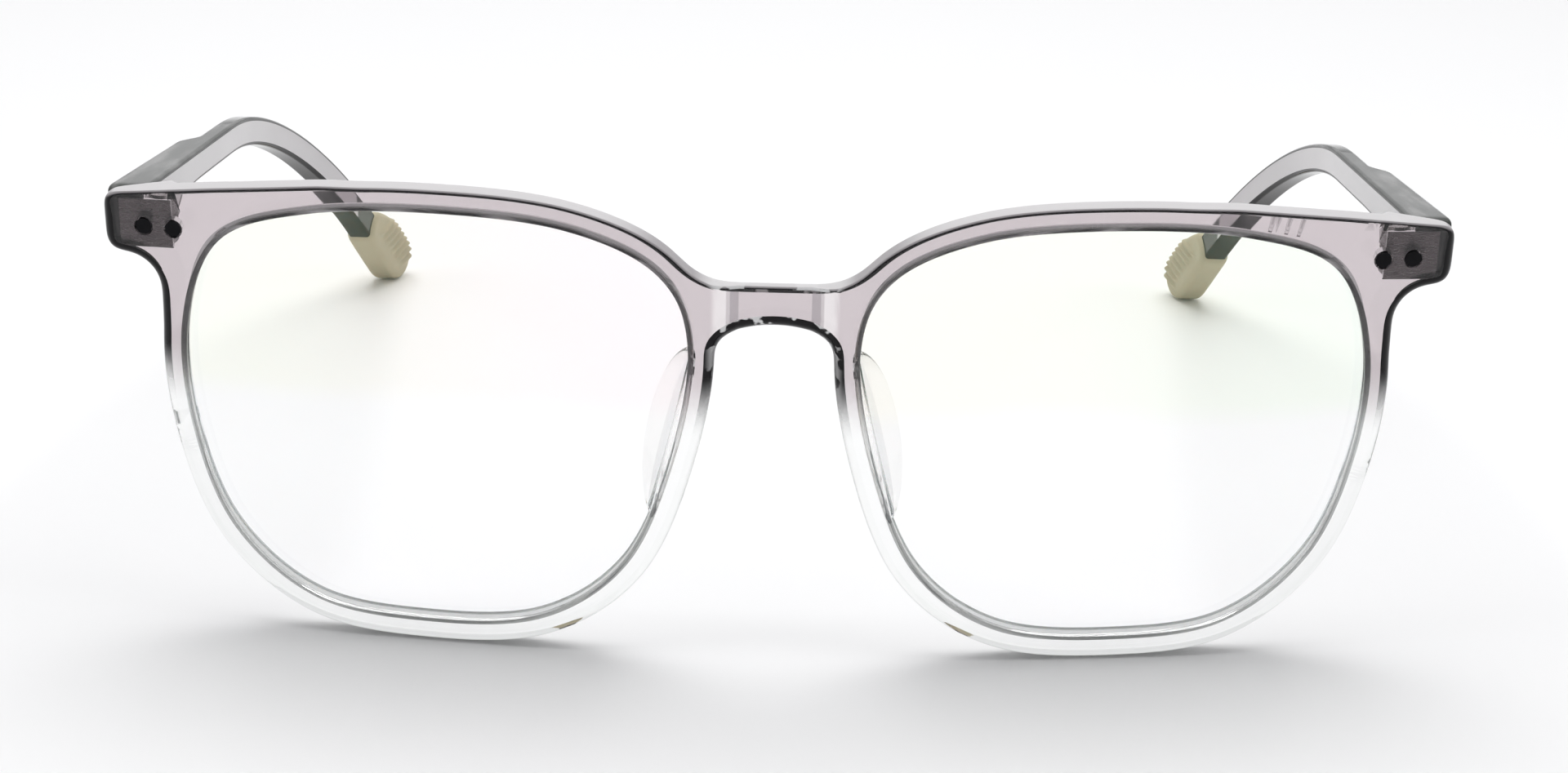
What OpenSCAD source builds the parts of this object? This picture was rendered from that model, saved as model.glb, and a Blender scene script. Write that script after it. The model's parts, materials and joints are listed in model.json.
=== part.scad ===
// Blue light glasses: a clear front with two lenses, two folding temples and soft temple tips.
// X runs across the face, Y runs back along the temples and Z is up. The rims and the tips
// stand on Z = 0. Right is +X; every left part is a mirror image of the right one.

/* [Lenses] */
// Width of a lens opening
lens_w = 54.6; // [52:0.2:56]
// Height of a lens opening
lens_h = 48; // [44:0.5:49]
// Thickness of a lens
lens_t = 1.6; // [1.4:0.1:1.8]
// Smallest distance between the two lens openings
bridge_w = 18.4; // [17:0.2:20]
// How deep the lens edge sits in the rim
groove_d = 0.6; // [0.4:0.1:0.8]

/* [Front] */
// Width of the front across the end pieces
front_w = 145.2; // [143:0.2:148]
// Width of a rim, seen from the front
rim_w = 2.8; // [2.6:0.1:3]
// Depth of a rim, front to back
rim_d = 3.2; // [3:0.1:3.6]
// Radius that the front is wrapped to
wrap_r = 300; // [280:10:340]
// How far the front leans forward at the top, in degrees
tilt = 4; // [3:0.5:5]
// Height of an end piece
end_h = 7; // [6.6:0.1:7.2]
// Height of the bridge bar at its middle
bridge_h = 4.8; // [4.4:0.1:5.2]
// How far the bridge is set back behind the rims
bridge_back = 1.1; // [0.9:0.1:1.3]

/* [Nose pads] */
// Height of a nose pad
pad_h = 21; // [18:1:22]
// How far a nose pad stands behind the rim
pad_d = 5.5; // [4.5:0.5:6]
// Thickness of a nose pad
pad_t = 2.2; // [1.8:0.1:2.4]
// How far a nose pad turns outwards, in degrees
pad_flare = 30; // [26:1:34]

/* [Hinges] */
// Radius of a hinge knuckle
knuckle_r = 1.35; // [1.3:0.05:1.4]
// Diameter of the hinge screw's shank
screw_d = 1.4; // [1.2:0.1:1.5]
// Radial clearance of the temple's knuckle on the screw
screw_gap = 0.05; // [0.02:0.01:0.08]
// Thickness of a hinge leaf
leaf_t = 0.8; // [0.7:0.05:0.9]
// Height of a hinge leaf
leaf_h = 5.2; // [5:0.1:5.4]
// Diameter of the two round pins in an end piece
pin_d = 1.75; // [1.5:0.05:1.8]

/* [Temples] */
// Length of the straight part of a temple
arm_len = 50; // [48:1:54]
// Slope of the straight part below the horizontal, in degrees
arm_slope = 7.3; // [7:0.1:7.6]
// Radius of the long bend down to the tip
bend_r = 124; // [118:1:128]
// Angle of the bend, in degrees
bend_angle = 39.3; // [38:0.1:40]
// Height of a temple at its hinge
block_h = 6.8; // [6.4:0.1:7]
// Height of a temple behind its step
arm_h = 3.7; // [3.6:0.1:4.2]
// Thickness of a temple behind its step
arm_t = 2.3; // [2.2:0.1:2.8]
// Distance from the hinge to the step on the outer side
step_y = 34; // [30:1:36]

/* [Temple tips] */
// Length of the soft tip, measured along the temple
tip_len = 16; // [15:0.5:17]
// Width of the tip at its round end
tip_w = 6.6; // [6:0.1:7]
// Thickness of the tip
tip_t = 4.2; // [4:0.1:4.6]
// Number of ribs on the inner side
rib_count = 8; // [4:1:8]
// Distance between two ribs
rib_pitch = 1.4; // [1.3:0.05:1.5]

/* [Hidden] */
$fn = 64;
lens_x = bridge_w / 2 + lens_w / 2;  // middle of a lens, from the middle of the glasses
lens_z = rim_w + lens_h / 2;         // middle of a lens, above the bottom of the rim
lens_y = 0.8;                        // depth of the lens behind the rim's front
front_h = lens_h + 2 * rim_w;
end_x = front_w / 2;                 // outer end of an end piece
end_top = front_h - 3.4;             // top corner of an end piece
bridge_top = front_h - 9.4;
bar_x = 9;                           // the bridge bar reaches this far into each rim
back_y = 7.8;                        // flat back of an end piece
boss_x = 64.9;                       // inner side of the thick part of an end piece
hinge_x = 66.4;
hinge_y = back_y + 1.6;
hinge_z = 46.9;
knuckle_h = 1.7;                     // height of the middle knuckle
knuckle_gap = 0.05;                  // between one knuckle and the next
hinge_h = 4.8;                       // all three knuckles
leaf_x = 70.8;                       // outer edge of the front hinge leaf
inner_x = 68;                        // inner side of a temple at its hinge
butt_gap = 0.15;                     // between an end piece and the open temple
temple_y = back_y + butt_gap;
plate_y = back_y + 5.9;              // where the temple's leaf starts to come to a point
plate_end = plate_y + 3;
plate_x = boss_x + 0.1;              // inner edge of the front hinge leaf
pin_x = [68, 64.7];                  // the two pins, outer one first
pin_end = [back_y, 6.4];             // the inner pin stops in the plastic
rivet_y = [back_y + 2, back_y + 4.8];  // rivets of the temple's leaf
rivet_d = 1.2;
rivet_len = 2.2;                     // in the plastic behind the leaf
head_h = 0.5;                        // screw head
head_r = knuckle_r - 0.15;
slot_w = 0.3;
core_h = 3;                          // the plastic core inside the soft tip
core_t = 1.6;
core_len = 10;
core_in = 1;                         // from the temple's inner side to its core
splay = 0.016;                       // how fast a temple widens the glasses, per mm
toe_y = 64;                          // from here the temples turn inwards
toe = 0.0021;                        // how fast they turn inwards
arm_z = end_top - arm_h / 2 + 0.2;   // middle line of the temple at its hinge
last_angle = arm_slope + bend_angle;
tip_in = -0.5;                       // the tip's inner side, outside the temple's inner side
tip_low = arm_h / 2 + 0.4;           // the tip's front edge, below the middle line
rib_s = 3.2;                         // from the front end of the tip to its first rib
rib_w = 0.6;
rib_h = 0.4;
tip_rise = tip_w / 2 - tip_low;      // middle of the tip's round end, above the middle line
tail_len = (arm_z - arm_len * sin(arm_slope) - bend_r * (cos(arm_slope) - cos(last_angle))
    + tip_rise * cos(last_angle) - tip_w / 2) / sin(last_angle);
path_len = arm_len + bend_r * bend_angle * PI / 180 + tail_len;
tip_s = path_len + tip_w / 2 - tip_len;
far = 80;                            // longer than any cut needs
clear = [0.78, 0.73, 0.75, 0.6];

// Outline of a lens opening, from its middle
LENS = [
    [0, 24], [13.5, 22.8], [23.3, 18.8], [27.3, 8.7], [26.8, -3.3], [22.8, -14.8], [14, -22.4],
    [2, -24], [-11, -22.6], [-20.2, -15.6], [-25.2, -3.3], [-27.3, 10.2], [-23.9, 18.5], [-14, 23]
];

// Point at t, from 0 to 1, on the smooth curve between b and c
function between(a, b, c, d, t) =
    b + t * (c - a) / 2 + t * t * (a - 2.5 * b + 2 * c - d / 2) + t * t * t * (-a + 3 * b - 3 * c + d) / 2;

// Smooth closed curve through points, in steps of 1 / n
function closed_curve(p, n) =
    let (m = len(p))
    [for (i = [0 : m - 1], j = [0 : n - 1])
        between(p[(i + m - 1) % m], p[i], p[(i + 1) % m], p[(i + 2) % m], j / n)];

// The closed outline p, moved outwards by d
function grown(p, d) =
    let (m = len(p))
    [for (i = [0 : m - 1])
        let (along = p[(i + 1) % m] - p[(i + m - 1) % m])
        p[i] + d * [-along.y, along.x] / norm(along)];

// Outline of a lens opening grown by d, in its place
function lens_outline(d) =
    [for (q = grown(closed_curve([for (p = LENS) [p.x * lens_w / 54.6, p.y * lens_h / 48]], 5), d))
        [lens_x + q.x, lens_z + q.y]];

// Side view of a temple: [y, z] of its middle line at length s from the hinge
function turn(s) = arm_slope + min(max(s - arm_len, 0) / bend_r * 180 / PI, bend_angle);
function path(s) =
    let (straight = min(s, arm_len), a = turn(s), last = max(s - path_len + tail_len, 0))
    [temple_y, arm_z]
    + straight * [cos(arm_slope), -sin(arm_slope)]
    + bend_r * [sin(a) - sin(arm_slope), cos(a) - cos(arm_slope)]
    + last * [cos(a), -sin(a)];

// The same line moved up by h, square to itself
function edge(s, h) = path(s) + h * [sin(turn(s)), cos(turn(s))];
function steps(s0, s1, n) = [for (i = [0 : n]) s0 + (s1 - s0) * i / n];

// Middle of the open glasses, from the brow to the tips
mid_y = (edge(path_len, tip_rise).x + tip_w / 2 - front_h * sin(tilt) + 0.6) / 2;

// Top view of a temple: x of its inner side at y
function inner(y) = inner_x + splay * (y - temple_y) - toe * pow(max(y - toe_y, 0), 2);

// The front leaned forward, with the bottoms of its rims on Z = 0
module tilted() {
    drop = pow(lens_x + 2, 2) / wrap_r / 2 * sin(tilt);
    translate([0, 0, -drop]) rotate([tilt, 0, 0]) children();
}

// Prism of a front view outline
module from_front() translate([0, 30, 0]) rotate([90, 0, 0]) linear_extrude(40) children();

// Everything deeper than d behind the wrapped front face
module behind(d) translate([0, wrap_r, -5]) cylinder(r = wrap_r - d, h = far, $fn = 720);

// Slab wrapped round the face, from depth a to depth b
module wrapped(a, b) {
    difference() {
        behind(a);
        translate([0, 0, -1]) behind(b);
        translate([0, 0, 1]) behind(b);
    }
}

// Outline of an end piece: the brow runs out to it, and a fillet below it runs into the rim
module end_outline() {
    r = 1.4;
    fillet = 3.8;
    bottom = end_top - end_h;
    side_x = lens_x + lens_w / 2 + rim_w;
    polygon([
        [lens_x, front_h], [lens_x + 12, front_h - 0.5], [lens_x + 24, front_h - 1.9], [end_x - r, end_top],
        [end_x - r, bottom], [lens_x + lens_w / 2, bottom], [lens_x, bottom]
    ]);
    translate([end_x - 2 * r, bottom + r]) square([2 * r, end_h - 2 * r]);
    for (z = [end_top - r, bottom + r]) translate([end_x - r, z]) circle(r);
    difference() {
        polygon([
            [side_x - 4, bottom + 0.1], [side_x + fillet, bottom + 0.1], [side_x + fillet, bottom - fillet],
            [side_x, bottom - fillet], [side_x + 0.15, lens_z + 6.5], [side_x - 4, lens_z + 6.5]
        ]);
        translate([side_x + fillet, bottom - fillet]) circle(fillet);
    }
}

// Fillet between the brow and the top of the bridge
module bridge_fillet() {
    r = 7;
    difference() {
        translate([4.64, bridge_top - 2]) square([5.3, 4.3]);
        translate([4.64, bridge_top + r]) circle(r);
    }
}

// Room under the bridge for the nose: a flat arch with rounded corners
module arch() {
    r = 13;
    corner_r = 1.5;
    corner_x = 4.8;
    corner_z = sqrt(pow(r - corner_r, 2) - pow(corner_x, 2)) - r;
    meet_x = corner_x * r / (r - corner_r);
    intersection() {
        translate([0, -r]) circle(r, $fn = 128);
        translate([-meet_x, -8]) square([2 * meet_x, 9]);
    }
    for (x = [-corner_x, corner_x]) translate([x, corner_z]) circle(corner_r);
    translate([-corner_x - corner_r, -8]) square([2 * (corner_x + corner_r), 8 + corner_z]);
}

// Bar between the rims, set back in two facets on either side, with an arch below it
module bridge() {
    face = [[0, bridge_back], [3.9, bridge_back], [5.2, bridge_back / 2], [6.6, 0.1]];
    bar = concat(face, [[bar_x, 0.1], [bar_x, rim_d]]);
    tilted() intersection() {
        from_front() difference() {
            translate([-bar_x, bridge_top - bridge_h - 3]) square([2 * bar_x, bridge_h + 3]);
            translate([0, bridge_top - bridge_h]) arch();
        }
        linear_extrude(far) polygon(concat(bar, [for (i = [5 : -1 : 0]) [-bar[i].x, bar[i].y]]));
    }
}

// Thick part of an end piece, with a flat back for the hinge
module end_boss() {
    intersection() {
        tilted() intersection() {
            from_front() intersection() {
                end_outline();
                translate([boss_x, 0]) square([20, 60]);
            }
            behind(0);
        }
        translate([0, -10, 0]) cube([far, 10 + back_y, far]);
    }
}

module nose_pad() {
    tilted() translate([9.2, rim_d - 1, lens_z - 0.5]) rotate([0, -13, 0]) rotate([0, 0, -pad_flare])
        rotate([90, 0, 90]) linear_extrude(pad_t)
            polygon([for (a = [-90 : 10 : 90]) [(pad_d + 1) * cos(a), pad_h / 2 * sin(a)]]);
}

// The front hinge leaf's plate, also cut out of the end piece
module front_plate() {
    translate([plate_x, back_y - leaf_t, hinge_z - leaf_h / 2])
        cube([leaf_x - plate_x, leaf_t, leaf_h]);
}

// A round pin from the front of an end piece to the depth y
module end_pin(x, y) {
    intersection() {
        translate([x, 0, hinge_z]) rotate([-90, 0, 0]) cylinder(d = pin_d, h = y);
        tilted() behind(0);
    }
}
module outer_pin() color("dimgray") end_pin(pin_x[0], pin_end[0]);
module inner_pin() color("dimgray") end_pin(pin_x[1], pin_end[1]);

module front_side() {
    difference() {
        union() {
            tilted() intersection() {
                from_front() difference() {
                    union() {
                        polygon(lens_outline(rim_w));
                        end_outline();
                        bridge_fillet();
                    }
                    polygon(lens_outline(0));
                }
                wrapped(0, rim_d);
            }
            difference() {
                end_boss();
                tilted() from_front() polygon(lens_outline(0));
            }
            nose_pad();
        }
        lens();
        translate([boss_x, back_y, 0]) cube([far, far, far]);
        front_plate();
        outer_pin();
        inner_pin();
    }
}

module front_frame() {
    color(clear) {
        front_side();
        mirror([1, 0, 0]) front_side();
        bridge();
    }
}

module lens() {
    color([0.9, 0.92, 0.85, 0.35]) tilted() intersection() {
        from_front() polygon(lens_outline(groove_d));
        wrapped(lens_y, lens_y + lens_t);
    }
}

// Two knuckles on a plate that lies in the back of the end piece
module front_hinge() {
    h = (hinge_h - knuckle_h) / 2 - knuckle_gap;
    color("silver") difference() {
        union() {
            front_plate();
            for (z = [-hinge_h / 2, knuckle_h / 2 + knuckle_gap]) {
                translate([hinge_x, hinge_y, hinge_z + z]) cylinder(r = knuckle_r, h = h);
                translate([hinge_x - knuckle_r, back_y - 0.1, hinge_z + z])
                    cube([2 * knuckle_r, hinge_y - back_y + 0.1, h]);
            }
        }
        translate([hinge_x, hinge_y, hinge_z - 5]) cylinder(d = screw_d, h = 10);
        outer_pin();
    }
}

// The temple leaf's plate, pointed at its back end, also cut out of the temple
module temple_plate() {
    h = leaf_h / 2 - 0.5;
    translate([inner_x, 0, hinge_z]) rotate([90, 0, 90]) linear_extrude(leaf_t)
        polygon([[temple_y, h], [plate_y, h], [plate_end, 0], [plate_y, -h], [temple_y, -h]]);
}

module temple_rivets() {
    color("dimgray") for (y = rivet_y)
        translate([inner_x, y, hinge_z]) rotate([0, 90, 0]) cylinder(d = rivet_d, h = leaf_t + rivet_len);
}

module temple_hinge() {
    color("silver") difference() {
        union() {
            temple_plate();
            translate([hinge_x, hinge_y, hinge_z - knuckle_h / 2]) cylinder(r = knuckle_r, h = knuckle_h);
            translate([hinge_x, hinge_y - 0.5, hinge_z - knuckle_h / 2])
                cube([inner_x - hinge_x + 0.1, 0.5 + knuckle_r, knuckle_h]);
        }
        translate([hinge_x, hinge_y, hinge_z - 5]) cylinder(d = screw_d + 2 * screw_gap, h = 10);
        temple_rivets();
    }
}

module hinge_screw() {
    color("gray") translate([hinge_x, hinge_y, hinge_z]) difference() {
        union() {
            translate([0, 0, -hinge_h / 2]) cylinder(d = screw_d, h = hinge_h);
            translate([0, 0, hinge_h / 2]) cylinder(r = head_r, h = head_h);
        }
        translate([-2, -slot_w / 2, hinge_h / 2 + 0.2]) cube([4, slot_w, 1]);
    }
}

// Prism of a side view outline
module from_side() translate([40, 0, 0]) rotate([90, 0, 90]) linear_extrude(40) children();

// How far the temple reaches below its middle line at length s: deep at the hinge
function low(s) = arm_h / 2 + (block_h - arm_h) * pow(max(1 - s / 30, 0), 2);

// Side view of the temple, up to the tip
module temple_side() {
    s = concat(steps(0, 30, 6), steps(arm_len, tip_s, 12));
    n = len(s);
    polygon(concat(
        [for (q = s) edge(q, arm_h / 2)], [for (i = [n - 1 : -1 : 0]) edge(s[i], -low(s[i]))]
    ));
}

// Top view of a temple: the thick block has a flat outer side and steps in to the arm
function outer(y) =
    let (back = inner(y) + arm_t + 0.9 * max(y - 60, 0) / 60)
    y < temple_y + step_y ? end_x
    : y < temple_y + step_y + 6
        ? let (t = (y - temple_y - step_y) / 6) end_x + (back - end_x) * (3 * t * t - 2 * t * t * t)
        : back;

module temple_top() {
    y = concat([temple_y], steps(temple_y + step_y, temple_y + step_y + 6, 5), steps(toe_y, 140, 14));
    n = len(y);
    polygon(concat(
        [for (i = [0 : n - 1]) [outer(y[i]), y[i]]],
        [for (i = [n - 1 : -1 : 0]) [inner(y[i]), y[i]]]
    ));
}

// Rear end of the top view that lies from a to b outside the temple's inner side
module strip(a, b) {
    y = steps(105, 141, 12);
    linear_extrude(far) polygon(concat(
        [for (q = y) [inner(q) + b, q]], [for (i = [12 : -1 : 0]) [inner(y[i]) + a, y[i]]]
    ));
}

// The slim end of the temple inside its tip
module core() {
    s = steps(tip_s - 0.5, tip_s + core_len, 5);
    intersection() {
        from_side() polygon(concat(
            [for (q = s) edge(q, core_h / 2)], [for (i = [5 : -1 : 0]) edge(s[i], -core_h / 2)]
        ));
        strip(core_in, core_in + core_t);
    }
}

module temple() {
    color([0.8, 0.78, 0.79, 0.6]) {
        difference() {
            intersection() {
                from_side() temple_side();
                linear_extrude(far) temple_top();
            }
            temple_plate();
            temple_rivets();
        }
        core();
    }
}

// Upper edge of the tip at length s, which swells out to the round end
function tip_high(s) = tip_low + 2 * tip_rise * sin(90 * min((s - tip_s) / 9, 1));

module tip_side() {
    s = steps(tip_s, path_len, 8);
    polygon(concat(
        [for (q = s) edge(q, tip_high(q))],
        [for (b = [75 : -15 : -75])
            edge(path_len, tip_rise) + tip_w / 2 * [cos(b - last_angle), sin(b - last_angle)]],
        [edge(path_len, -tip_low), edge(tip_s, -tip_low)]
    ));
}

module temple_tip() {
    color([0.7, 0.66, 0.54]) difference() {
        union() {
            intersection() {
                from_side() tip_side();
                strip(tip_in, tip_in + tip_t);
            }
            intersection() {
                from_side() intersection() {
                    tip_side();
                    for (i = [0 : rib_count - 1])
                        translate(path(tip_s + rib_s + i * rib_pitch)) rotate(10)
                            translate([-1, -rib_w / 2]) square([6, rib_w]);
                }
                strip(tip_in - rib_h, tip_in + 0.5);
            }
        }
        core();
    }
}

module on_right() translate([0, -mid_y, 0]) children();
module on_left() translate([0, -mid_y, 0]) mirror([1, 0, 0]) children();

on_right() front_frame();
on_left() lens();  // lens_left
on_right() lens();  // lens_right
on_left() front_hinge();  // front_hinge_left
on_right() front_hinge();  // front_hinge_right
on_left() outer_pin();  // outer_pin_left
on_right() outer_pin();  // outer_pin_right
on_left() inner_pin();  // inner_pin_left
on_right() inner_pin();  // inner_pin_right
on_left() hinge_screw();  // hinge_screw_left
on_right() hinge_screw();  // hinge_screw_right
on_left() temple();  // temple_left
on_right() temple();  // temple_right
on_left() temple_hinge();  // temple_hinge_left
on_right() temple_hinge();  // temple_hinge_right
on_left() temple_rivets();  // temple_rivets_left
on_right() temple_rivets();  // temple_rivets_right
on_left() temple_tip();  // temple_tip_left
on_right() temple_tip();  // temple_tip_right
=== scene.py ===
"""Clear blue light glasses: the looks of the front, lenses, hinges, temples and soft tips."""

import json
import math

import bmesh
import bpy
import numpy as np
from mathutils import Matrix, Vector
from mathutils.geometry import delaunay_2d_cdt


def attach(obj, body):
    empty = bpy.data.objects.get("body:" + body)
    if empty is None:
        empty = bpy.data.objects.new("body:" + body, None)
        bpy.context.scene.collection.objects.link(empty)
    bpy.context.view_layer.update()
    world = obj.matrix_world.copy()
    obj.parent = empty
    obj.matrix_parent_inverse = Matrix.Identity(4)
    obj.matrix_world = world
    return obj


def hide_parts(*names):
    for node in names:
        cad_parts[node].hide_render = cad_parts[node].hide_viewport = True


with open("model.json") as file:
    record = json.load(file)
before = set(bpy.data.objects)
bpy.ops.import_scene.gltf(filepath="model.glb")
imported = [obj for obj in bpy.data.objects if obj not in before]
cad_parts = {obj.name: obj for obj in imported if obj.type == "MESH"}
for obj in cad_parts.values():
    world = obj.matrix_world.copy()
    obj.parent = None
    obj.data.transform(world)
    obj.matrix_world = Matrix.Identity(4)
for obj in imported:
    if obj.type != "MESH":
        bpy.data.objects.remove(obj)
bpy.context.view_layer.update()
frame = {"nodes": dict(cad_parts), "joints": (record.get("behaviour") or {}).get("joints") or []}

MM = 0.001
SIDES = {"left": -1, "right": 1}

# Driving dimensions in millimetres, as in the CAD model
LENS_W, LENS_H, LENS_T, LENS_Y = 54.6, 48.0, 1.6, 0.8
BRIDGE_W, BRIDGE_H, BRIDGE_BACK = 18.4, 4.8, 1.1
FRONT_W, RIM_W, RIM_D, WRAP_R, TILT = 145.2, 2.8, 3.2, 300.0, math.radians(4)
GROOVE, END_H, END_R, END_FILLET = 0.6, 7.0, 1.4, 3.8
PAD_H, PAD_D, PAD_T, PAD_FLARE, PAD_LEAN = 21.0, 5.5, 2.2, math.radians(30), math.radians(13)
BACK_Y, BOSS_X, HINGE_Z = 7.8, 64.9, 46.9
LEAF_T, LEAF_H, LEAF_X, PIN_D, PIN_X = 0.8, 5.2, (65.0, 70.8), 1.75, (68.0, 64.7)
ARM_LEN, ARM_SLOPE, BEND_R, BEND_ANGLE = 50.0, math.radians(7.3), 124.0, math.radians(39.3)
BLOCK_H, ARM_H, ARM_T, STEP_Y, INNER_X = 6.8, 3.7, 2.3, 34.0, 68.0
TIP_LEN, TIP_W, TIP_T, TIP_IN, RIB_PITCH, RIB_COUNT = 16.0, 6.6, 4.2, -0.5, 1.4, 8
SPLAY, TOE_Y, TOE = 0.016, 64.0, 0.0021
LENS_POINTS = [
    (0, 24), (13.5, 22.8), (23.3, 18.8), (27.3, 8.7), (26.8, -3.3), (22.8, -14.8), (14, -22.4),
    (2, -24), (-11, -22.6), (-20.2, -15.6), (-25.2, -3.3), (-27.3, 10.2), (-23.9, 18.5), (-14, 23),
]

FRONT_H = LENS_H + 2 * RIM_W
LENS_MID = np.array([(BRIDGE_W + LENS_W) / 2, RIM_W + LENS_H / 2])
END_X, END_TOP = FRONT_W / 2, FRONT_H - 3.4
BRIDGE_TOP = FRONT_H - 9.4
TEMPLE_Y = BACK_Y + 0.15
DROP = (LENS_MID[0] + 2) ** 2 / WRAP_R / 2 * math.sin(TILT)
ARM_Z = END_TOP - ARM_H / 2 + 0.2
LAST_ANGLE = ARM_SLOPE + BEND_ANGLE
TIP_LOW = ARM_H / 2 + 0.4
TIP_RISE = TIP_W / 2 - TIP_LOW
TAIL = (
    ARM_Z - ARM_LEN * math.sin(ARM_SLOPE) - BEND_R * (math.cos(ARM_SLOPE) - math.cos(LAST_ANGLE))
    + TIP_RISE * math.cos(LAST_ANGLE) - TIP_W / 2
) / math.sin(LAST_ANGLE)
PATH_LEN = ARM_LEN + BEND_R * BEND_ANGLE + TAIL
TIP_S = PATH_LEN + TIP_W / 2 - TIP_LEN
HINGE_Y = BACK_Y + 1.6
MID_Y = HINGE_Y - frame["joints"][0]["pos_m"][1] / MM


# Plane curves, as arrays of points

def arc(x, z, r, start, end, n=16):
    """Points on a circle of radius r about (x, z), from one angle in degrees to another."""
    a = np.radians(np.linspace(start, end, n))
    return np.column_stack([x + r * np.cos(a), z + r * np.sin(a)])


def smooth_closed(points, n):
    """A smooth closed curve through points, in n steps from each to the next."""
    b = np.array(points, float)
    a, c, d = np.roll(b, 1, 0), np.roll(b, -1, 0), np.roll(b, -2, 0)
    t = (np.arange(n) / n)[None, :, None]
    a, b, c, d = a[:, None], b[:, None], c[:, None], d[:, None]
    curve = b + t * (c - a) / 2 + t**2 * (a - 2.5 * b + 2 * c - d / 2)
    curve = curve + t**3 * (3 * b - a - 3 * c + d) / 2
    return curve.reshape(-1, 2)


def left_normals(loop):
    """At each point, the unit vector to the left of the way along the closed loop."""
    along = np.roll(loop, -1, 0) - np.roll(loop, 1, 0)
    return np.column_stack([-along[:, 1], along[:, 0]]) / np.linalg.norm(along, axis=1)[:, None]


def even(loop, step):
    """The closed loop again, with points at equal distances of about step."""
    closed = np.vstack([loop, loop[:1]])
    s = np.concatenate([[0], np.cumsum(np.linalg.norm(np.diff(closed, axis=0), axis=1))])
    at = np.linspace(0, s[-1], max(int(s[-1] / step), 8), endpoint=False)
    return np.column_stack([np.interp(at, s, closed[:, i]) for i in (0, 1)])


def softened(loop, turns):
    """The closed loop after a number of turns of smoothing."""
    for _ in range(turns):
        loop = (np.roll(loop, 1, 0) + 2 * loop + np.roll(loop, -1, 0)) / 4
    return loop


def area(loop):
    """Area inside the loop, negative if it runs clockwise."""
    x, z = loop[:, 0], loop[:, 1]
    return float(np.sum(x * np.roll(z, -1) - np.roll(x, -1) * z)) / 2


def united(shapes):
    """The outline round a set of overlapping plane shapes, counterclockwise."""
    points, faces = [], []
    for shape in shapes:
        if area(shape) < 0:
            shape = shape[::-1]
        faces.append(list(range(len(points), len(points) + len(shape))))
        points += [Vector(p) for p in shape]
    spots, _, tris, *_ = delaunay_2d_cdt(points, [], faces, 1, 1e-4)
    edges = {(t[i], t[i - 2]) for t in tris for i in range(3)}
    follows = {a: b for a, b in edges if (b, a) not in edges}
    loops = []
    while follows:
        start, here = follows.popitem()
        loop = [start]
        while here != start:
            loop.append(here)
            here = follows.pop(here)
        loops.append(np.array([spots[i] for i in loop]))
    return max(loops, key=lambda p: abs(area(p)))


# Solids between two surfaces over a plane outline

def inside(points, loop):
    """Which points lie inside the loop."""
    x, z = points[:, 0, None], points[:, 1, None]
    a, b = loop, np.roll(loop, -1, 0)
    spans = (a[:, 1] > z) != (b[:, 1] > z)
    rise = np.where(b[:, 1] == a[:, 1], 1e-9, b[:, 1] - a[:, 1])
    return (spans & (x < a[:, 0] + (z - a[:, 1]) / rise * (b[:, 0] - a[:, 0]))).sum(1) % 2 == 1


def covered(loops, grid, creases=()):
    """Triangles over the region inside the first loop and outside the others."""
    points = np.vstack(loops)
    edges, start = [], 0
    for loop in loops:
        n = len(loop)
        edges += [(start + i, start + (i + 1) % n) for i in range(n)]
        start += n
    low, high = points.min(0), points.max(0)
    xs, zs = [np.arange(low[i] + grid / 2, high[i], grid) for i in (0, 1)]
    x, z = np.meshgrid(xs, zs)
    x = x + (np.arange(len(zs)) % 2)[:, None] * grid / 2
    spots = np.column_stack([x.ravel(), z.ravel()])
    for crease in creases:
        edges += [(len(points) + i, len(points) + i + 1) for i in range(len(crease) - 1)]
        points = np.vstack([points, crease])
        spots = spots[np.abs(spots[:, 0] - crease[0, 0]) > grid / 2]
    keep = inside(spots, loops[0])
    for loop in loops[1:]:
        keep &= ~inside(spots, loop)
    spots = spots[keep]
    near = np.full(len(spots), np.inf)
    for i in range(0, start, 2):
        near = np.minimum(near, np.linalg.norm(spots - points[i], axis=1))
    spots = spots[near > grid / 2]
    points = np.vstack([points, spots])
    flat, _, tris, source, *_ = delaunay_2d_cdt([Vector(p) for p in points], edges, [], 0, 1e-6)
    flat = np.array(flat)
    if len(flat) != len(points):
        raise ValueError("an outline crosses itself")
    order = np.array([s[0] for s in source])
    tris = np.array(tris)
    middle = flat[tris].mean(1)
    keep = inside(middle, loops[0])
    for loop in loops[1:]:
        keep &= ~inside(middle, loop)
    within = set(edges[:start])
    beyond = {(b, a) for a, b in within}
    for k, t in enumerate(order[tris]):
        sides = {(t[i - 1], t[i]) for i in range(3)}
        if sides & beyond:
            keep[k] = False
        elif sides & within:
            keep[k] = True
    return points, order[tris[keep]]


HOLD = 0.06  # a narrow ring round each flat face keeps its shading flat


def rounding(r, steps, deepest):
    """How far a rounded edge of radius r lies inside the outline, and how deep."""
    r = np.atleast_1d(r)
    low = np.minimum(r, deepest)
    turns = np.linspace(0, math.pi / 2, steps + 1)
    return [(r + HOLD, low * 0)] + [(r * (1 - math.sin(t)), low * (1 - math.cos(t))) for t in turns]


class Solid:
    """Vertices and faces of a closed mesh, with a material index for each face."""

    def __init__(self):
        self.verts, self.faces, self.kinds = [], [], []

    def add(self, points):
        start = len(self.verts)
        self.verts += [tuple(p) for p in points]
        return np.arange(start, start + len(points))

    def strip(self, a, b, kind):
        for i in range(len(a)):
            j = (i + 1) % len(a)
            self.faces.append((a[i], a[j], b[j], b[i]))
            self.kinds.append(kind)


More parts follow.
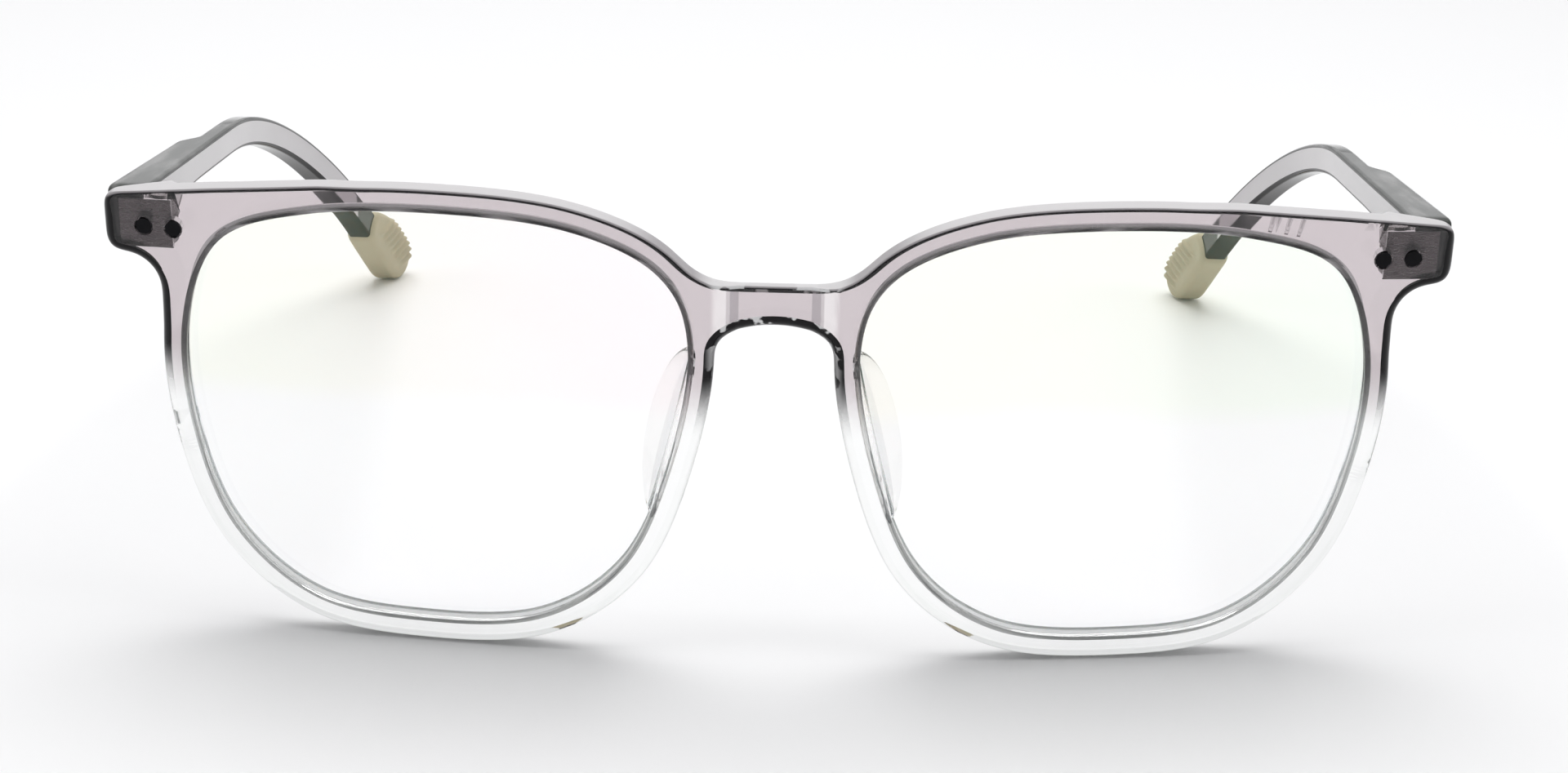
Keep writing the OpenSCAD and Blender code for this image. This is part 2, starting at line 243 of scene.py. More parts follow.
def slab(loops, place, front, back, r_front, r_back, grid=2.0, creases=(), groove=None, steps=5):
    """A closed solid over the region inside the first loop and outside the others.

    place(x, z, depth) gives the points in space, and front and back the two depths at (x, z).
    The first loop runs counterclockwise and the others clockwise. r_front and r_back list
    the rounding of each loop's edges, which may differ from point to point. groove lists
    (out, depth) for the walls of the inner loops.
    """
    solid = Solid()
    ends = {}
    for k, loop in enumerate(loops):
        into = left_normals(loop)
        rows = []
        deepest = 9 if k == 0 else 0.7
        for out, deep in rounding(r_front[k], steps, deepest):
            q = loop + into * out[:, None]
            rows.append((q, front(q) + deep))
        if k > 0 and groove:
            for out, depth in groove:
                q = loop + into * out
                rows.append((q, front(q) * 0 + depth))
        for out, deep in reversed(rounding(r_back[k], steps, deepest)):
            q = loop + into * out[:, None]
            rows.append((q, back(q) - deep))
        ids = [solid.add(place(q[:, 0], q[:, 1], d)) for q, d in rows]
        for i, (a, b) in enumerate(zip(ids, ids[1:])):
            flat = i in (0, len(ids) - 2)
            solid.strip(b, a, 0 if flat else 1 if k == 0 else 2)
        ends[k] = (rows[0][0], ids[0], rows[-1][0], ids[-1])
    for side, depth in ((0, front), (1, back)):
        points, tris = covered([ends[k][2 * side] for k in ends], grid, creases if side == 0 else ())
        ids = np.concatenate([ends[k][2 * side + 1] for k in ends])
        extra = points[len(ids):]
        ids = np.concatenate([ids, solid.add(place(extra[:, 0], extra[:, 1], depth(extra)))])
        for t in tris:
            face = tuple(ids[t])
            solid.faces.append(face if side == 0 else face[::-1])
            solid.kinds.append(0)
    return solid


def build(name, solid, materials, mirrored=False, sharp=40):
    """A Blender object from a solid in millimetres."""
    verts = np.array(solid.verts) * MM
    faces = [tuple(int(i) for i in f) for f in solid.faces]
    if mirrored:
        verts = verts * (-1, 1, 1)
    mesh = bpy.data.meshes.new(name)
    mesh.from_pydata(verts.tolist(), [], faces)
    mesh.polygons.foreach_set("material_index", solid.kinds)
    for m in materials:
        mesh.materials.append(m)
    obj = bpy.data.objects.new(name, mesh)
    bpy.context.collection.objects.link(obj)
    tidy(obj, sharp)
    return obj


def tidy(obj, sharp=40):
    """Outward normals, and smooth shading up to the sharp angle."""
    mesh = obj.data
    work = bmesh.new()
    work.from_mesh(mesh)
    bmesh.ops.recalc_face_normals(work, faces=work.faces)
    work.to_mesh(mesh)
    work.free()
    mesh.shade_smooth()
    mesh.set_sharp_from_angle(angle=math.radians(sharp))


def combined(obj, other, operation):
    """Joins other to obj, or cuts it out, and deletes it."""
    mod = obj.modifiers.new("cut", "BOOLEAN")
    mod.operation, mod.object, mod.solver = operation, other, "EXACT"
    mod.material_mode = "TRANSFER"
    mesh = bpy.data.meshes.new_from_object(obj.evaluated_get(bpy.context.evaluated_depsgraph_get()))
    obj.modifiers.clear()
    old, obj.data = obj.data, mesh
    mesh.name = obj.name
    bpy.data.meshes.remove(old)
    bpy.data.objects.remove(other)
    tidy(obj, 16)


def even_shading(obj):
    obj.modifiers.new("shading", "WEIGHTED_NORMAL").keep_sharp = True


def finish_piece(obj, body, node):
    even_shading(obj)
    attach(obj, body)
    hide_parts(node)


# Materials

class Paint:
    """A node material round one Principled shader."""

    def __init__(self, name, **values):
        self.mat = bpy.data.materials.new(name)
        self.mat.use_nodes = True
        self.nodes = self.mat.node_tree.nodes
        self.links = self.mat.node_tree.links
        self.shader = self.nodes["Principled BSDF"]
        for key, value in values.items():
            self.shader.inputs[key.replace("_", " ")].default_value = value
        self.where = self.nodes.new("ShaderNodeTexCoord").outputs["Object"]

    def node(self, kind, **settings):
        made = self.nodes.new("ShaderNode" + kind)
        for key, value in settings.items():
            setattr(made, key, value)
        return made

    def join(self, value, socket):
        if hasattr(value, "is_output"):
            self.links.new(value, socket)
        else:
            socket.default_value = value

    def math(self, operation, a, b=0.0):
        n = self.node("Math", operation=operation)
        self.join(a, n.inputs[0])
        self.join(b, n.inputs[1])
        return n.outputs[0]

    def axis(self, i, source=None):
        n = self.node("SeparateXYZ")
        self.links.new(source or self.where, n.inputs[0])
        return n.outputs[i]

    def ramp(self, value, low, high, a=0.0, b=1.0, shape="SMOOTHSTEP"):
        n = self.node("MapRange", interpolation_type=shape)
        self.links.new(value, n.inputs["Value"])
        for socket, v in zip(n.inputs[1:5], (low, high, a, b)):
            socket.default_value = v
        return n.outputs[0]

    def noise(self, scale, detail=2.0, stretch=None):
        n = self.node("TexNoise")
        n.inputs["Scale"].default_value = scale
        n.inputs["Detail"].default_value = detail
        source = self.where
        if stretch:
            m = self.node("Mapping")
            m.inputs["Scale"].default_value = stretch
            self.links.new(source, m.inputs["Vector"])
            source = m.outputs[0]
        self.links.new(source, n.inputs["Vector"])
        return n.outputs["Fac"]

    def mix(self, factor, a, b):
        n = self.node("Mix", data_type="RGBA")
        self.join(factor, n.inputs[0])
        self.join(a, n.inputs[6])
        self.join(b, n.inputs[7])
        return n.outputs[2]

    def set(self, key, value):
        self.join(value, self.shader.inputs[key])

    def bump(self, height, distance, strength=1.0):
        n = self.node("Bump")
        n.inputs["Strength"].default_value = strength
        n.inputs["Distance"].default_value = distance
        self.links.new(height, n.inputs["Height"])
        self.set("Normal", n.outputs[0])


CLEAR = (0.97, 0.975, 0.97, 1)
MAUVE = (0.61, 0.55, 0.57, 1)
TINT_LOW, TINT_HIGH = 0.0265, 0.034


def tint(paint, clear, full):
    """The full colour above, fading to the clear one below."""
    height = paint.axis(2)
    cloud = paint.math("SUBTRACT", paint.noise(180), 0.5)
    level = paint.math("ADD", height, paint.math("MULTIPLY", cloud, 0.002))
    return paint.mix(paint.ramp(level, TINT_LOW, TINT_HIGH), clear, full)


def polish(paint, low=0.02, high=0.06):
    paint.set("Roughness", paint.ramp(paint.noise(900, 4), 0.35, 0.7, low, high))


def facing(paint, i):
    """A part of the surface's direction: 0 for X, 1 for Y and 2 for Z."""
    return paint.axis(i, paint.node("NewGeometry").outputs["Normal"])


def frame_plastic():
    """Clear plastic; the facets of the bridge catch the light differently, so the inner facets get
    painted shade and the outer ones a painted highlight.
    """
    p = Paint("frame_plastic", Transmission_Weight=1.0, IOR=1.49)
    out = p.math("ABSOLUTE", p.axis(0))
    # Painted shade on the inner facets of the bridge (darker mauve) and a painted highlight on the
    # outer facets (lighter grey)
    inner = p.math("MULTIPLY", p.ramp(out, 0.0038, 0.0040), p.ramp(out, 0.0051, 0.0053, 1.0, 0.0))
    outer = p.math("MULTIPLY", p.ramp(out, 0.0051, 0.0053), p.ramp(out, 0.0064, 0.0070, 1.0, 0.0))
    full = p.mix(inner, MAUVE, (0.42, 0.38, 0.40, 1))
    full = p.mix(outer, full, (0.80, 0.76, 0.77, 1))
    p.set("Base Color", tint(p, CLEAR, full))
    polish(p, 0.0, 0.03)
    return p.mat


def pad_plastic():
    """Almost colourless plastic."""
    p = Paint("pad_plastic", Transmission_Weight=1.0, IOR=1.49)
    p.set("Base Color", p.mix(p.noise(200), (0.97, 0.965, 0.96, 1), (0.93, 0.92, 0.915, 1)))
    polish(p, 0.0, 0.04)
    return p.mat


def frame_edge():
    """Edges look along the plastic; where it is tinted they carry painted shade, black facing down and
    grey at the sides, with a painted highlight on the lit top and painted glints under the bridge.
    """
    p = Paint("frame_edge", IOR=1.49, Specular_IOR_Level=0.15)
    up, front = facing(p, 2), p.math("ABSOLUTE", facing(p, 1))
    # Painted shade: black on edges facing down, mid grey sideways; painted highlight on edges facing up
    dark = p.mix(p.ramp(up, 0.1, 0.6), (0.004, 0.0035, 0.0045, 1), (0.38, 0.36, 0.37, 1))
    dark = p.mix(p.ramp(up, 0.8, 0.97), dark, (0.66, 0.645, 0.65, 1))
    # Painted glints: light noise spots on the dark edges under the bridge, facing the front
    glint = p.ramp(p.noise(330, 3), 0.52, 0.56)
    under = p.math("MULTIPLY", glint, p.ramp(p.math("ABSOLUTE", p.axis(0)), 0.006, 0.0075, 1.0, 0.0))
    under = p.math("MULTIPLY", under, p.ramp(front, 0.3, 0.9, 0.2, 1.0))
    dark = p.mix(under, dark, (0.85, 0.85, 0.85, 1))
    # Painted shade on the clear edges: grey where they face sideways, near white where they face the
    # front
    clear = p.mix(p.ramp(front, 0.2, 0.8), (0.42, 0.43, 0.42, 1), (0.93, 0.94, 0.93, 1))
    p.set("Base Color", tint(p, clear, dark))
    height = p.ramp(p.axis(2), TINT_LOW, TINT_HIGH)
    p.set("Transmission Weight", p.ramp(height, 0.0, 1.0, 1.0, 0.05, "LINEAR"))
    polish(p, 0.0, 0.04)
    return p.mat


def opening_wall():
    """The walls of the lens openings: painted shade in dark streaks with painted glints where they face
    down on top, and grey painted shade at the sides.
    """
    p = Paint("opening_wall", IOR=1.49, Specular_IOR_Level=0.3)
    # Painted shade on walls facing down, broken by streaks of painted glints; grey painted shade on the
    # side walls
    down = p.ramp(facing(p, 2), -0.6, -0.1, 1.0, 0.0)
    streak = p.ramp(p.noise(260, 3, (0.35, 4, 1)), 0.42, 0.66)
    dark = p.mix(streak, (0.006, 0.0055, 0.0065, 1), (0.42, 0.40, 0.41, 1))
    wall = p.mix(down, (0.22, 0.21, 0.215, 1), dark)
    p.set("Base Color", tint(p, (0.8, 0.81, 0.8, 1), wall))
    p.set("Transmission Weight", p.ramp(down, 0.0, 1.0, 0.8, 0.15, "LINEAR"))
    polish(p, 0.0, 0.04)
    return p.mat


BLACK_FROM, BLACK_TO = 0.0518, 0.0526  # the end of a temple is black from here on
# Near black: the own colour of a temple's black end, and painted shade on the temple edges facing down
BLACK_AND_SHADE = (0.004, 0.004, 0.005, 1)


def darkened(paint, colour, through):
    """The colour, and how much shows through it, up to the black end of a temple."""
    end = paint.ramp(paint.axis(1), BLACK_FROM, BLACK_TO)
    paint.set("Base Color", paint.mix(end, colour, BLACK_AND_SHADE))
    paint.set("Transmission Weight", paint.ramp(end, 0.0, 1.0, through, 0.0, "LINEAR"))


def temple_plastic():
    """Smoky pinkish grey on the flat sides."""
    p = Paint("temple_plastic", IOR=1.49, Specular_IOR_Level=0.25)
    darkened(p, p.mix(p.noise(60), (0.56, 0.54, 0.55, 1), (0.66, 0.635, 0.645, 1)), 0.15)
    polish(p, 0.02, 0.08)
    return p.mat


def temple_edge():
    """Dark greenish grey above, lighter in streaks, and painted shade in near black below and at the
    butt end.
    """
    p = Paint("temple_edge", IOR=1.49, Specular_IOR_Level=0.05)
    streak = p.ramp(p.noise(120, 3, (3, 0.5, 1)), 0.4, 0.68)
    top = p.mix(streak, (0.085, 0.09, 0.085, 1), (0.24, 0.24, 0.235, 1))
    # Painted shade: near black on edges facing down and sideways, such as the butt end
    darkened(p, p.mix(p.ramp(facing(p, 2), 0.0, 0.7), BLACK_AND_SHADE, top), 0.08)
    polish(p, 0.02, 0.08)
    return p.mat


def lens_plastic(side):
    """Faint coating colours above, and clear below."""
    p = Paint(
        "lens_" + side, Transmission_Weight=1.0, IOR=1.5, Thin_Film_Thickness=380.0, Thin_Film_IOR=1.38,
    )
    x, z = p.axis(0), p.axis(2)
    out = p.math("MULTIPLY", x, float(SIDES[side]))
    across = p.ramp(out, 0.012, 0.062)
    far, near = ((0.985, 1.0, 0.93, 1), (1.0, 0.955, 0.965, 1))
    if side == "right":
        far, near = ((0.955, 1.0, 0.93, 1), (1.0, 0.995, 0.94, 1))
    edge = p.math("ADD", z, p.math("MULTIPLY", p.noise(45), 0.004))
    above = p.mix(across, near, far)
    p.set("Base Color", p.mix(p.ramp(edge, 0.029, 0.033), (0.995, 0.998, 0.995, 1), above))
    polish(p, 0.0, 0.01)
    return p.mat


def tip_rubber():
    """Matt khaki rubber with a fine grain."""
    p = Paint("tip_rubber", Roughness=0.6, Subsurface_Weight=0.08, Subsurface_Scale=0.001)
    p.set("Base Color", p.mix(p.noise(400, 5), (0.44, 0.385, 0.26, 1), (0.50, 0.44, 0.31, 1)))
    p.set("Roughness", p.ramp(p.noise(2500, 3), 0.3, 0.7, 0.5, 0.68))
    p.bump(p.noise(6000, 3), 0.00002, 0.4)
    return p.mat


def metal(name, colour, low, high, grain):
    """Brushed metal, with a roughness between low and high."""
    p = Paint(name, Metallic=1.0)
    fine = p.noise(1500, 3, grain)
    p.set("Base Color", p.mix(fine, colour, tuple(c * 0.8 for c in colour[:3]) + (1,)))
    p.set("Roughness", p.ramp(fine, 0.3, 0.7, low, high))
    p.bump(fine, 0.00001, 0.3)
    return p.mat


PLASTIC, EDGE, WALL, PAD = frame_plastic(), frame_edge(), opening_wall(), pad_plastic()
TEMPLE, TEMPLE_EDGE = temple_plastic(), temple_edge()
RUBBER = tip_rubber()
NICKEL = metal("hinge_nickel", (0.2, 0.19, 0.19, 1), 0.22, 0.4, (1, 1, 8))
STEEL = metal("screw_steel", (0.42, 0.41, 0.4, 1), 0.2, 0.35, (1, 1, 1))
DARK = metal("pin_dark", (0.012, 0.012, 0.013, 1), 0.3, 0.45, (1, 1, 1))


# The front

def in_front(x, z, depth):
    """Points at a depth behind the wrapped and tilted front face."""
    back = WRAP_R - np.sqrt((WRAP_R - depth) ** 2 - x**2)
    y = back * math.cos(TILT) - z * math.sin(TILT) - MID_Y
    return np.column_stack([x, y, back * math.sin(TILT) + z * math.cos(TILT) - DROP])


def lens_loop(out=0.0, n=25):
    """Clockwise outline of the right lens opening, grown by out."""
    loop = even(smooth_closed(LENS_POINTS, n), 0.45)
    return loop + left_normals(loop) * out + LENS_MID


def end_shapes():
    """Plane shapes of the brow, the end piece and the fillet under it."""
    x, side = LENS_MID[0], LENS_MID[0] + LENS_W / 2 + RIM_W
    bottom = END_TOP - END_H
    brow = np.vstack([
        [(x, bottom), (x, FRONT_H), (x + 12, FRONT_H - 0.5), (x + 24, FRONT_H - 1.9)],
        arc(END_X - END_R, END_TOP - END_R, END_R, 75, 0),
        arc(END_X - END_R, bottom + END_R, END_R, 0, -90),
    ])
    fillet = np.vstack([
        [(side - 4, LENS_MID[1] + 6.5), (side - 4, bottom + 1), (side + END_FILLET, bottom + 1)],
        arc(side + END_FILLET, bottom - END_FILLET, END_FILLET, 90, 180),
        [(side + 0.15, LENS_MID[1] + 6.5)],
    ])
    return [brow, fillet]


def bridge_shapes():
    """Plane shapes of the bridge: its bar over a flat arch, and the fillet beside its top."""
    low = BRIDGE_TOP - BRIDGE_H
    r, corner, x = 13, 1.5, 4.8
    rise = math.sqrt((r - corner) ** 2 - x**2)
    turn = math.degrees(math.atan2(rise, x))
    bar = np.vstack([
        [(9, low - 3), (9, BRIDGE_TOP), (-9, BRIDGE_TOP), (-9, low - 3)],
        arc(-x, low - r + rise, corner, 180, 180 - turn, 8), arc(0, low - r, r, 179 - turn, turn + 1),
        arc(x, low - r + rise, corner, turn, 0, 8), [(x + corner, low - 3)],
    ])
    start, r = 4.64, 7
    fillet = np.vstack([
        [(start, BRIDGE_TOP - 2), (9.9, BRIDGE_TOP - 2)], arc(start, BRIDGE_TOP + r, r, -42, -90),
    ])
    return [bar], [fillet]


def front_depth(q):
    """The bridge is set back in facets between the rims."""
    depths = [BRIDGE_BACK, BRIDGE_BACK, BRIDGE_BACK / 2, 0]
    return np.interp(np.abs(q[:, 0]), [0, 3.9, 5.2, 6.6], depths)


def back_depth(q):
    """The rims have an even depth, and the end pieces a flat back."""
    flat = (BACK_Y - 0.03 + q[:, 1] * math.sin(TILT)) / math.cos(TILT)
    end = WRAP_R - np.sqrt((WRAP_R - flat) ** 2 + q[:, 0] ** 2)
    t = np.clip((np.abs(q[:, 0]) - BOSS_X + 0.5) / 1.0, 0, 1)
    t = t * t * (3 - 2 * t)
    return RIM_D + (end - RIM_D) * t


def nose_pad():
    """A leaf-shaped pad behind the nose side of the right rim."""
    bm = bmesh.new()
    bmesh.ops.create_uvsphere(bm, u_segments=64, v_segments=48, radius=1.0)
    for v in bm.verts:
        x, y, z = v.co
        deep = PAD_D + 1 if y > 0 else 0.6
        v.co = (abs(x) ** 0.8 * math.copysign(PAD_T / 2, x) + PAD_T / 2, y * deep, z * PAD_H / 2)
    turn = Matrix.Rotation(-PAD_LEAN, 4, "Y") @ Matrix.Rotation(-PAD_FLARE, 4, "Z")
    bmesh.ops.transform(bm, matrix=turn, verts=bm.verts)
    verts = np.array([v.co for v in bm.verts]) + (9.2, RIM_D - 1, LENS_MID[1] - 0.5)
    y, z = verts[:, 1].copy(), verts[:, 2].copy()
    verts[:, 1] = y * math.cos(TILT) - z * math.sin(TILT) - MID_Y
    verts[:, 2] = y * math.sin(TILT) + z * math.cos(TILT) - DROP
    solid = Solid()
    ids = solid.add(verts)
    solid.faces = [tuple(v.index for v in f.verts) for f in bm.faces]
    solid.kinds = [0] * len(solid.faces)
    bm.free()
    return solid


def block(low, high):
    """A box between two corners, in millimetres."""
    bm = bmesh.new()
    bmesh.ops.create_cube(bm, size=1.0)
    size = np.subtract(high, low)
    solid = Solid()
    solid.add(np.array([v.co for v in bm.verts]) * size + np.add(low, high) / 2)
    solid.faces = [tuple(v.index for v in f.verts) for f in bm.faces]
    solid.kinds = [0] * 6
    bm.free()
    return solid


def rod(x, z, y0, y1, r, n=48):
    """A cylinder along Y, in millimetres."""
    solid = Solid()
    ring = arc(x, z, r, 0, 360 * (n - 1) / n, n)
    a, b = [solid.add(np.column_stack([ring[:, 0], np.full(n, y), ring[:, 1]])) for y in (y0, y1)]
    solid.strip(a, b, 0)
    solid.faces += [tuple(a[::-1]), tuple(b)]
    solid.kinds += [0, 0]
    return solid


def front_piece():
    """The front as one solid, with its nose pads, hinge pockets and pin holes."""
    ring = lens_loop(RIM_W)
    bar, fillet = bridge_shapes()
    half = end_shapes() + fillet + [ring]
    mirror = np.array([-1, 1])
    outline = united(half + [s * mirror for s in half] + bar)
    outline = softened(even(outline, 0.3), 14)
    if area(outline) < 0:
        outline = outline[::-1]
    opening = lens_loop()
    other = (opening * mirror)[::-1]
    out, near, far = GROOVE + 0.04, LENS_Y - 0.04, LENS_Y + LENS_T + 0.04
    groove = [(0, near), (out, near + 0.02), (out, far - 0.02), (0, far)]
    creases = [
        np.column_stack([np.full(7, x), np.linspace(BRIDGE_TOP - BRIDGE_H + 1.0, BRIDGE_TOP - 0.8, 7)])
        for x in (-5.2, -3.9, 3.9, 5.2)
    ]
    up = -left_normals(outline)[:, 1:]
    up = softened(np.clip((up - 0.3) / 0.4, 0, 1), 30)[:, 0]
    arch = softened((np.abs(outline[:, :1]) < 6) & (outline[:, 1:] < BRIDGE_TOP - 2), 20)[:, 0]
    fronts, backs = [1.1 - 0.8 * up + 0.4 * arch], [0.6 + 0.6 * up]
    loops = [outline, opening, other]
    for loop in loops[1:]:
        down = softened(np.clip((left_normals(loop)[:, 1:] - 0.1) / 0.5, 0, 1), 60)[:, 0]
        fronts.append(0.28 + 0.82 * down)
        backs.append(0.4)
    solid = slab(loops, in_front, front_depth, back_depth, fronts, backs, 1.6, creases, groove, 8)
    obj = build("front_frame_clear", solid, [PLASTIC, EDGE, WALL], sharp=16)
    y = BACK_Y - MID_Y
    gap, half_h = 0.1, LEAF_H / 2 + 0.1
    low = (LEAF_X[0] - gap, y - LEAF_T - 0.12, HINGE_Z - half_h)
    high = (LEAF_X[1] + gap, y + 1, HINGE_Z + half_h)
    for side in SIDES.values():
        combined(obj, build("pad", nose_pad(), [PAD], side < 0), "UNION")
        combined(obj, build("pocket", block(low, high), [PLASTIC], side < 0), "DIFFERENCE")
        for x, end in zip(PIN_X, (y + 1, y - 1.3)):
            hole = rod(x, HINGE_Z, y - 12, end, PIN_D / 2 + 0.17)
            combined(obj, build("hole", hole, [PLASTIC], side < 0), "DIFFERENCE")
    finish_piece(obj, "front", "front_frame")


def lens_piece(side):
    """A lens of even thickness, with a small bevel round its edge."""
    loop = lens_loop(GROOVE)[::-1]
    depth = lambda q: np.full(len(q), LENS_Y)
    rear = lambda q: np.full(len(q), LENS_Y + LENS_T)
    solid = slab([loop], in_front, depth, rear, [0.2], [0.2], 2.0, steps=3)
    obj = build("lens_" + side + "_coated", solid, [lens_plastic(side)] * 2, side == "left")
    finish_piece(obj, "front", "lens_" + side)


# The temples

def turn(s):
    """How far a temple slopes down at length s from the hinge."""
    return ARM_SLOPE + np.clip((s - ARM_LEN) / BEND_R, 0, BEND_ANGLE)


def edge(s, h):
    """Side view of a temple: (y, z) at length s from the hinge and height h off the middle line."""
    s, h = np.broadcast_arrays(np.asarray(s, float), h)
    a, straight, last = turn(s), np.minimum(s, ARM_LEN), np.maximum(s - PATH_LEN + TAIL, 0)
    up, along = math.sin(ARM_SLOPE), math.cos(ARM_SLOPE)
    y = TEMPLE_Y + straight * along + BEND_R * (np.sin(a) - up) + last * np.cos(a)
    z = ARM_Z - straight * up + BEND_R * (np.cos(a) - along) - last * np.sin(a)
    return np.column_stack([y + h * np.sin(a), z + h * np.cos(a)])


def inner(y):
    """Where the inner side of a temple stands, which toes in behind the straight part."""
    return INNER_X + SPLAY * (y - TEMPLE_Y) - TOE * np.maximum(y - TOE_Y, 0) ** 2


def thickness(y):
    """From the thick block at the hinge, over the step on the outer side, to the slim arm."""
    slim = ARM_T + 0.9 * np.maximum(y - 60, 0) / 60
    t = np.clip((y - TEMPLE_Y - STEP_Y) / 6, 0, 1)
    t = t * t * (3 - 2 * t)
    return (END_X - inner(y)) * (1 - t) + slim * t


def temple_loop():
    """Counterclockwise side outline of a temple, from its butt end to inside its tip."""
    s = np.concatenate([np.linspace(0, 34, 40), np.linspace(36, TIP_S + 3, 60)])
    low = ARM_H / 2 + (BLOCK_H - ARM_H) * np.maximum(1 - s / 30, 0) ** 2
    top, bottom = edge(s, ARM_H / 2), edge(s, -low)
    first = np.array([[TEMPLE_Y, top[0, 1] + 0.05]])
    bottom = bottom[bottom[:, 0] > TEMPLE_Y + 0.2]
    last = np.array([[TEMPLE_Y, bottom[0, 1] + 0.1]])
    loop = np.vstack([bottom, top[::-1], first, last])
    return softened(even(loop, 0.4), 10)


def temple_piece(side):
    place = lambda y, z, d: np.column_stack([inner(y) + 0.03 + d, y - MID_Y, z])
    near = lambda q: np.zeros(len(q))
    far = lambda q: thickness(q[:, 0]) - 0.03
    solid = slab([temple_loop()], place, near, far, [0.5], [0.5], 0.8)
    obj = build("temple_" + side + "_clear", solid, [TEMPLE, TEMPLE_EDGE], side == "left")
    finish_piece(obj, side + "_temple", "temple_" + side)


def tip_loop():
    """Counterclockwise side outline of a soft tip, which swells towards its round end."""
    length, r = PATH_LEN - TIP_S, TIP_W / 2
    rise = np.linspace(8, 2, 7)
    high = TIP_LOW + 2 * TIP_RISE * np.sin(np.radians(10 * rise))
    loop = np.vstack([
        arc(1.4, 1.4 - TIP_LOW, 1.4, 180, 270), arc(length, TIP_RISE, r, -85, 85, 24),
        np.column_stack([rise, high]), arc(1.4, TIP_LOW - 1.0, 1.4, 100, 180),
    ])
    return softened(even(edge(TIP_S + loop[:, 0], loop[:, 1]), 0.25), 20)


def ribs(q):
    """Height of the ribs on the inner side: soft bars that fade out towards the front edge."""
    lean = math.radians(10)
    start = edge(TIP_S + 3.2, 0)[0]
    along, up = q[:, 0] - start[0], q[:, 1] - start[1]
    across = up * math.cos(lean) - along * math.sin(lean)
    pitch = RIB_PITCH * math.sin(LAST_ANGLE + lean)
    wave = np.cos(across / pitch * 2 * math.pi) * 0.5 + 0.5
    count = np.clip((across + (RIB_COUNT - 0.5) * pitch) / 0.3, 0, 1)
    count = count * np.clip((0.5 * pitch - across) / 0.3, 0, 1)
    middle = edge(np.linspace(TIP_S, PATH_LEN, 40), 0)
    ahead = q[:, 0] - np.interp(-q[:, 1], -middle[:, 1], middle[:, 0])
    return 0.42 * wave**1.5 * count * np.clip((ahead + 0.6) / 1.2, 0, 1)


def tip_piece(side):
    place = lambda y, z, d: np.column_stack([inner(y) + TIP_IN + d, y - MID_Y, z])
    near = lambda q: -ribs(q)
    far = lambda q: np.full(len(q), TIP_T)
    solid = slab([tip_loop()], place, near, far, [0.9], [1.1], 0.2, steps=8)
    obj = build("temple_tip_" + side + "_ribbed", solid, [RUBBER] * 2, side == "left", 80)
    finish_piece(obj, side + "_temple", "temple_tip_" + side)


# The metal parts keep their CAD shapes

def metal_nodes():
    kinds = {
        "front_hinge": NICKEL, "temple_hinge": NICKEL, "hinge_screw": STEEL,
        "outer_pin": DARK, "inner_pin": DARK, "temple_rivets": DARK,
    }
    for kind, material in kinds.items():
        for side in SIDES:
            obj = frame["nodes"][kind + "_" + side]
            if not obj.material_slots:
                obj.data.materials.append(material)
            for s in obj.material_slots:
                s.material = material
            mod = obj.modifiers.new("edges", "BEVEL")
            mod.width, mod.segments, mod.limit_method = 0.06 * MM, 2, "ANGLE"


# The stage

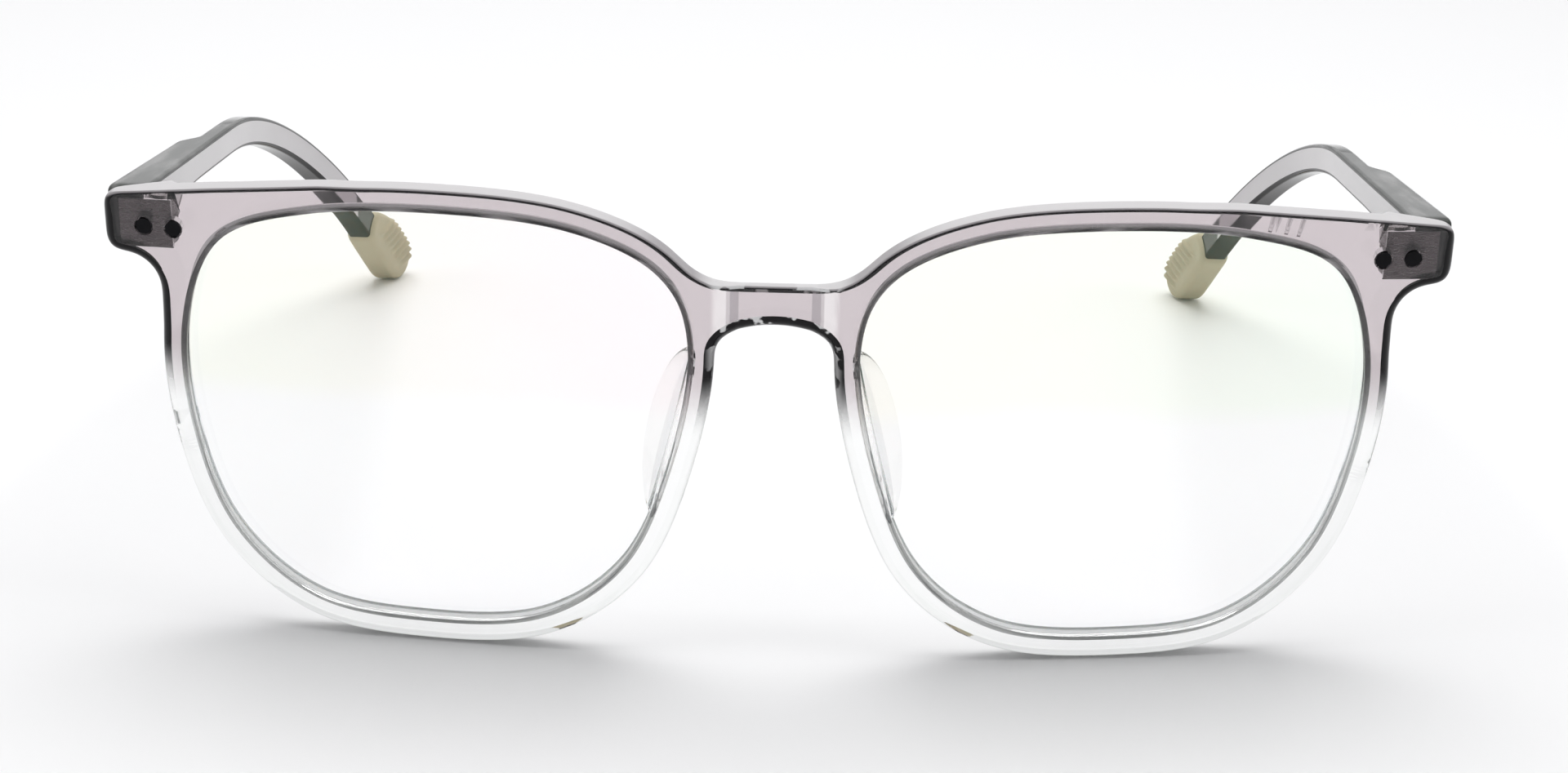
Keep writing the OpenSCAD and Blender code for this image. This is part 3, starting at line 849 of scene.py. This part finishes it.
def studio():
    world = bpy.data.worlds.new("studio")
    bpy.context.scene.world = world
    world.use_nodes = True
    nodes, links = world.node_tree.nodes, world.node_tree.links
    where = nodes.new("ShaderNodeTexCoord")
    split = nodes.new("ShaderNodeSeparateXYZ")
    links.new(where.outputs["Generated"], split.inputs[0])
    room = nodes.new("ShaderNodeValToRGB")
    links.new(split.outputs[1], room.inputs[0])
    room.color_ramp.elements[0].color = (0.16, 0.16, 0.17, 1)
    room.color_ramp.elements[1].color = (0.85, 0.85, 0.86, 1)
    room.color_ramp.elements[1].position = 0.35
    ray = nodes.new("ShaderNodeLightPath")
    plain = nodes.new("ShaderNodeMix")
    plain.data_type = "RGBA"
    links.new(ray.outputs["Is Camera Ray"], plain.inputs[0])
    links.new(room.outputs[0], plain.inputs[6])
    plain.inputs[7].default_value = (0.985, 0.985, 0.985, 1)
    links.new(plain.outputs[2], nodes["Background"].inputs["Color"])
    floor()
    lamp("key", (0, 0.1, 0.8), (0, 0, 0), 0.8, 4.9)
    lamp("side_left", (-0.7, -0.2, 0.4), (0, 0, 0.03), 0.35, 0.7)
    lamp("side_right", (0.7, -0.2, 0.4), (0, 0, 0.03), 0.35, 0.7)


def lamp(name, at, to, size, power):
    light = bpy.data.lights.new(name, "AREA")
    light.size, light.energy = size, power
    obj = bpy.data.objects.new(name, light)
    obj.location = at
    obj.rotation_euler = (Vector(to) - Vector(at)).to_track_quat("-Z", "Y").to_euler()
    bpy.context.collection.objects.link(obj)


def floor():
    bm = bmesh.new()
    bmesh.ops.create_circle(bm, cap_ends=True, segments=96, radius=6)
    mesh = bpy.data.meshes.new("floor")
    bm.to_mesh(mesh)
    bm.free()
    obj = bpy.data.objects.new("floor", mesh)
    obj.location.z = -0.05 * MM
    p = Paint("floor_pale", Roughness=0.6)
    p.set("Base Color", p.mix(p.noise(6), (0.94, 0.94, 0.94, 1), (0.96, 0.96, 0.96, 1)))
    mesh.materials.append(p.mat)
    bpy.context.collection.objects.link(obj)


def camera():
    """In front and a little above, looking down at the glasses, and rolled slightly."""
    yaw, pitch, roll = math.radians(-0.5), math.radians(19.87), math.radians(1.33)
    ahead = Vector((math.sin(yaw) * math.cos(pitch), math.cos(yaw) * math.cos(pitch), -math.sin(pitch)))
    right = Vector((math.cos(yaw), -math.sin(yaw), 0))
    up = right.cross(ahead)
    c, s = math.cos(roll), math.sin(roll)
    right, up = c * right + s * up, c * up - s * right
    data = bpy.data.cameras.new("camera")
    data.lens, data.sensor_width = 67.5, 36
    data.clip_start = 0.01
    obj = bpy.data.objects.new("camera", data)
    spot = Vector((3.7, -296.7 - MID_Y, 139.4)) * MM
    turned = Matrix((right, up, -ahead)).transposed()
    obj.matrix_world = Matrix.Translation(spot) @ turned.to_4x4()
    bpy.context.collection.objects.link(obj)
    bpy.context.scene.camera = obj


camera()
studio()
scene = bpy.context.scene
scene.view_settings.view_transform = "Standard"
scene.cycles.max_bounces = 24
scene.cycles.transmission_bounces = 24
scene.cycles.glossy_bounces = 8
front_piece()
for name in SIDES:
    lens_piece(name)
    temple_piece(name)
    tip_piece(name)
metal_nodes()
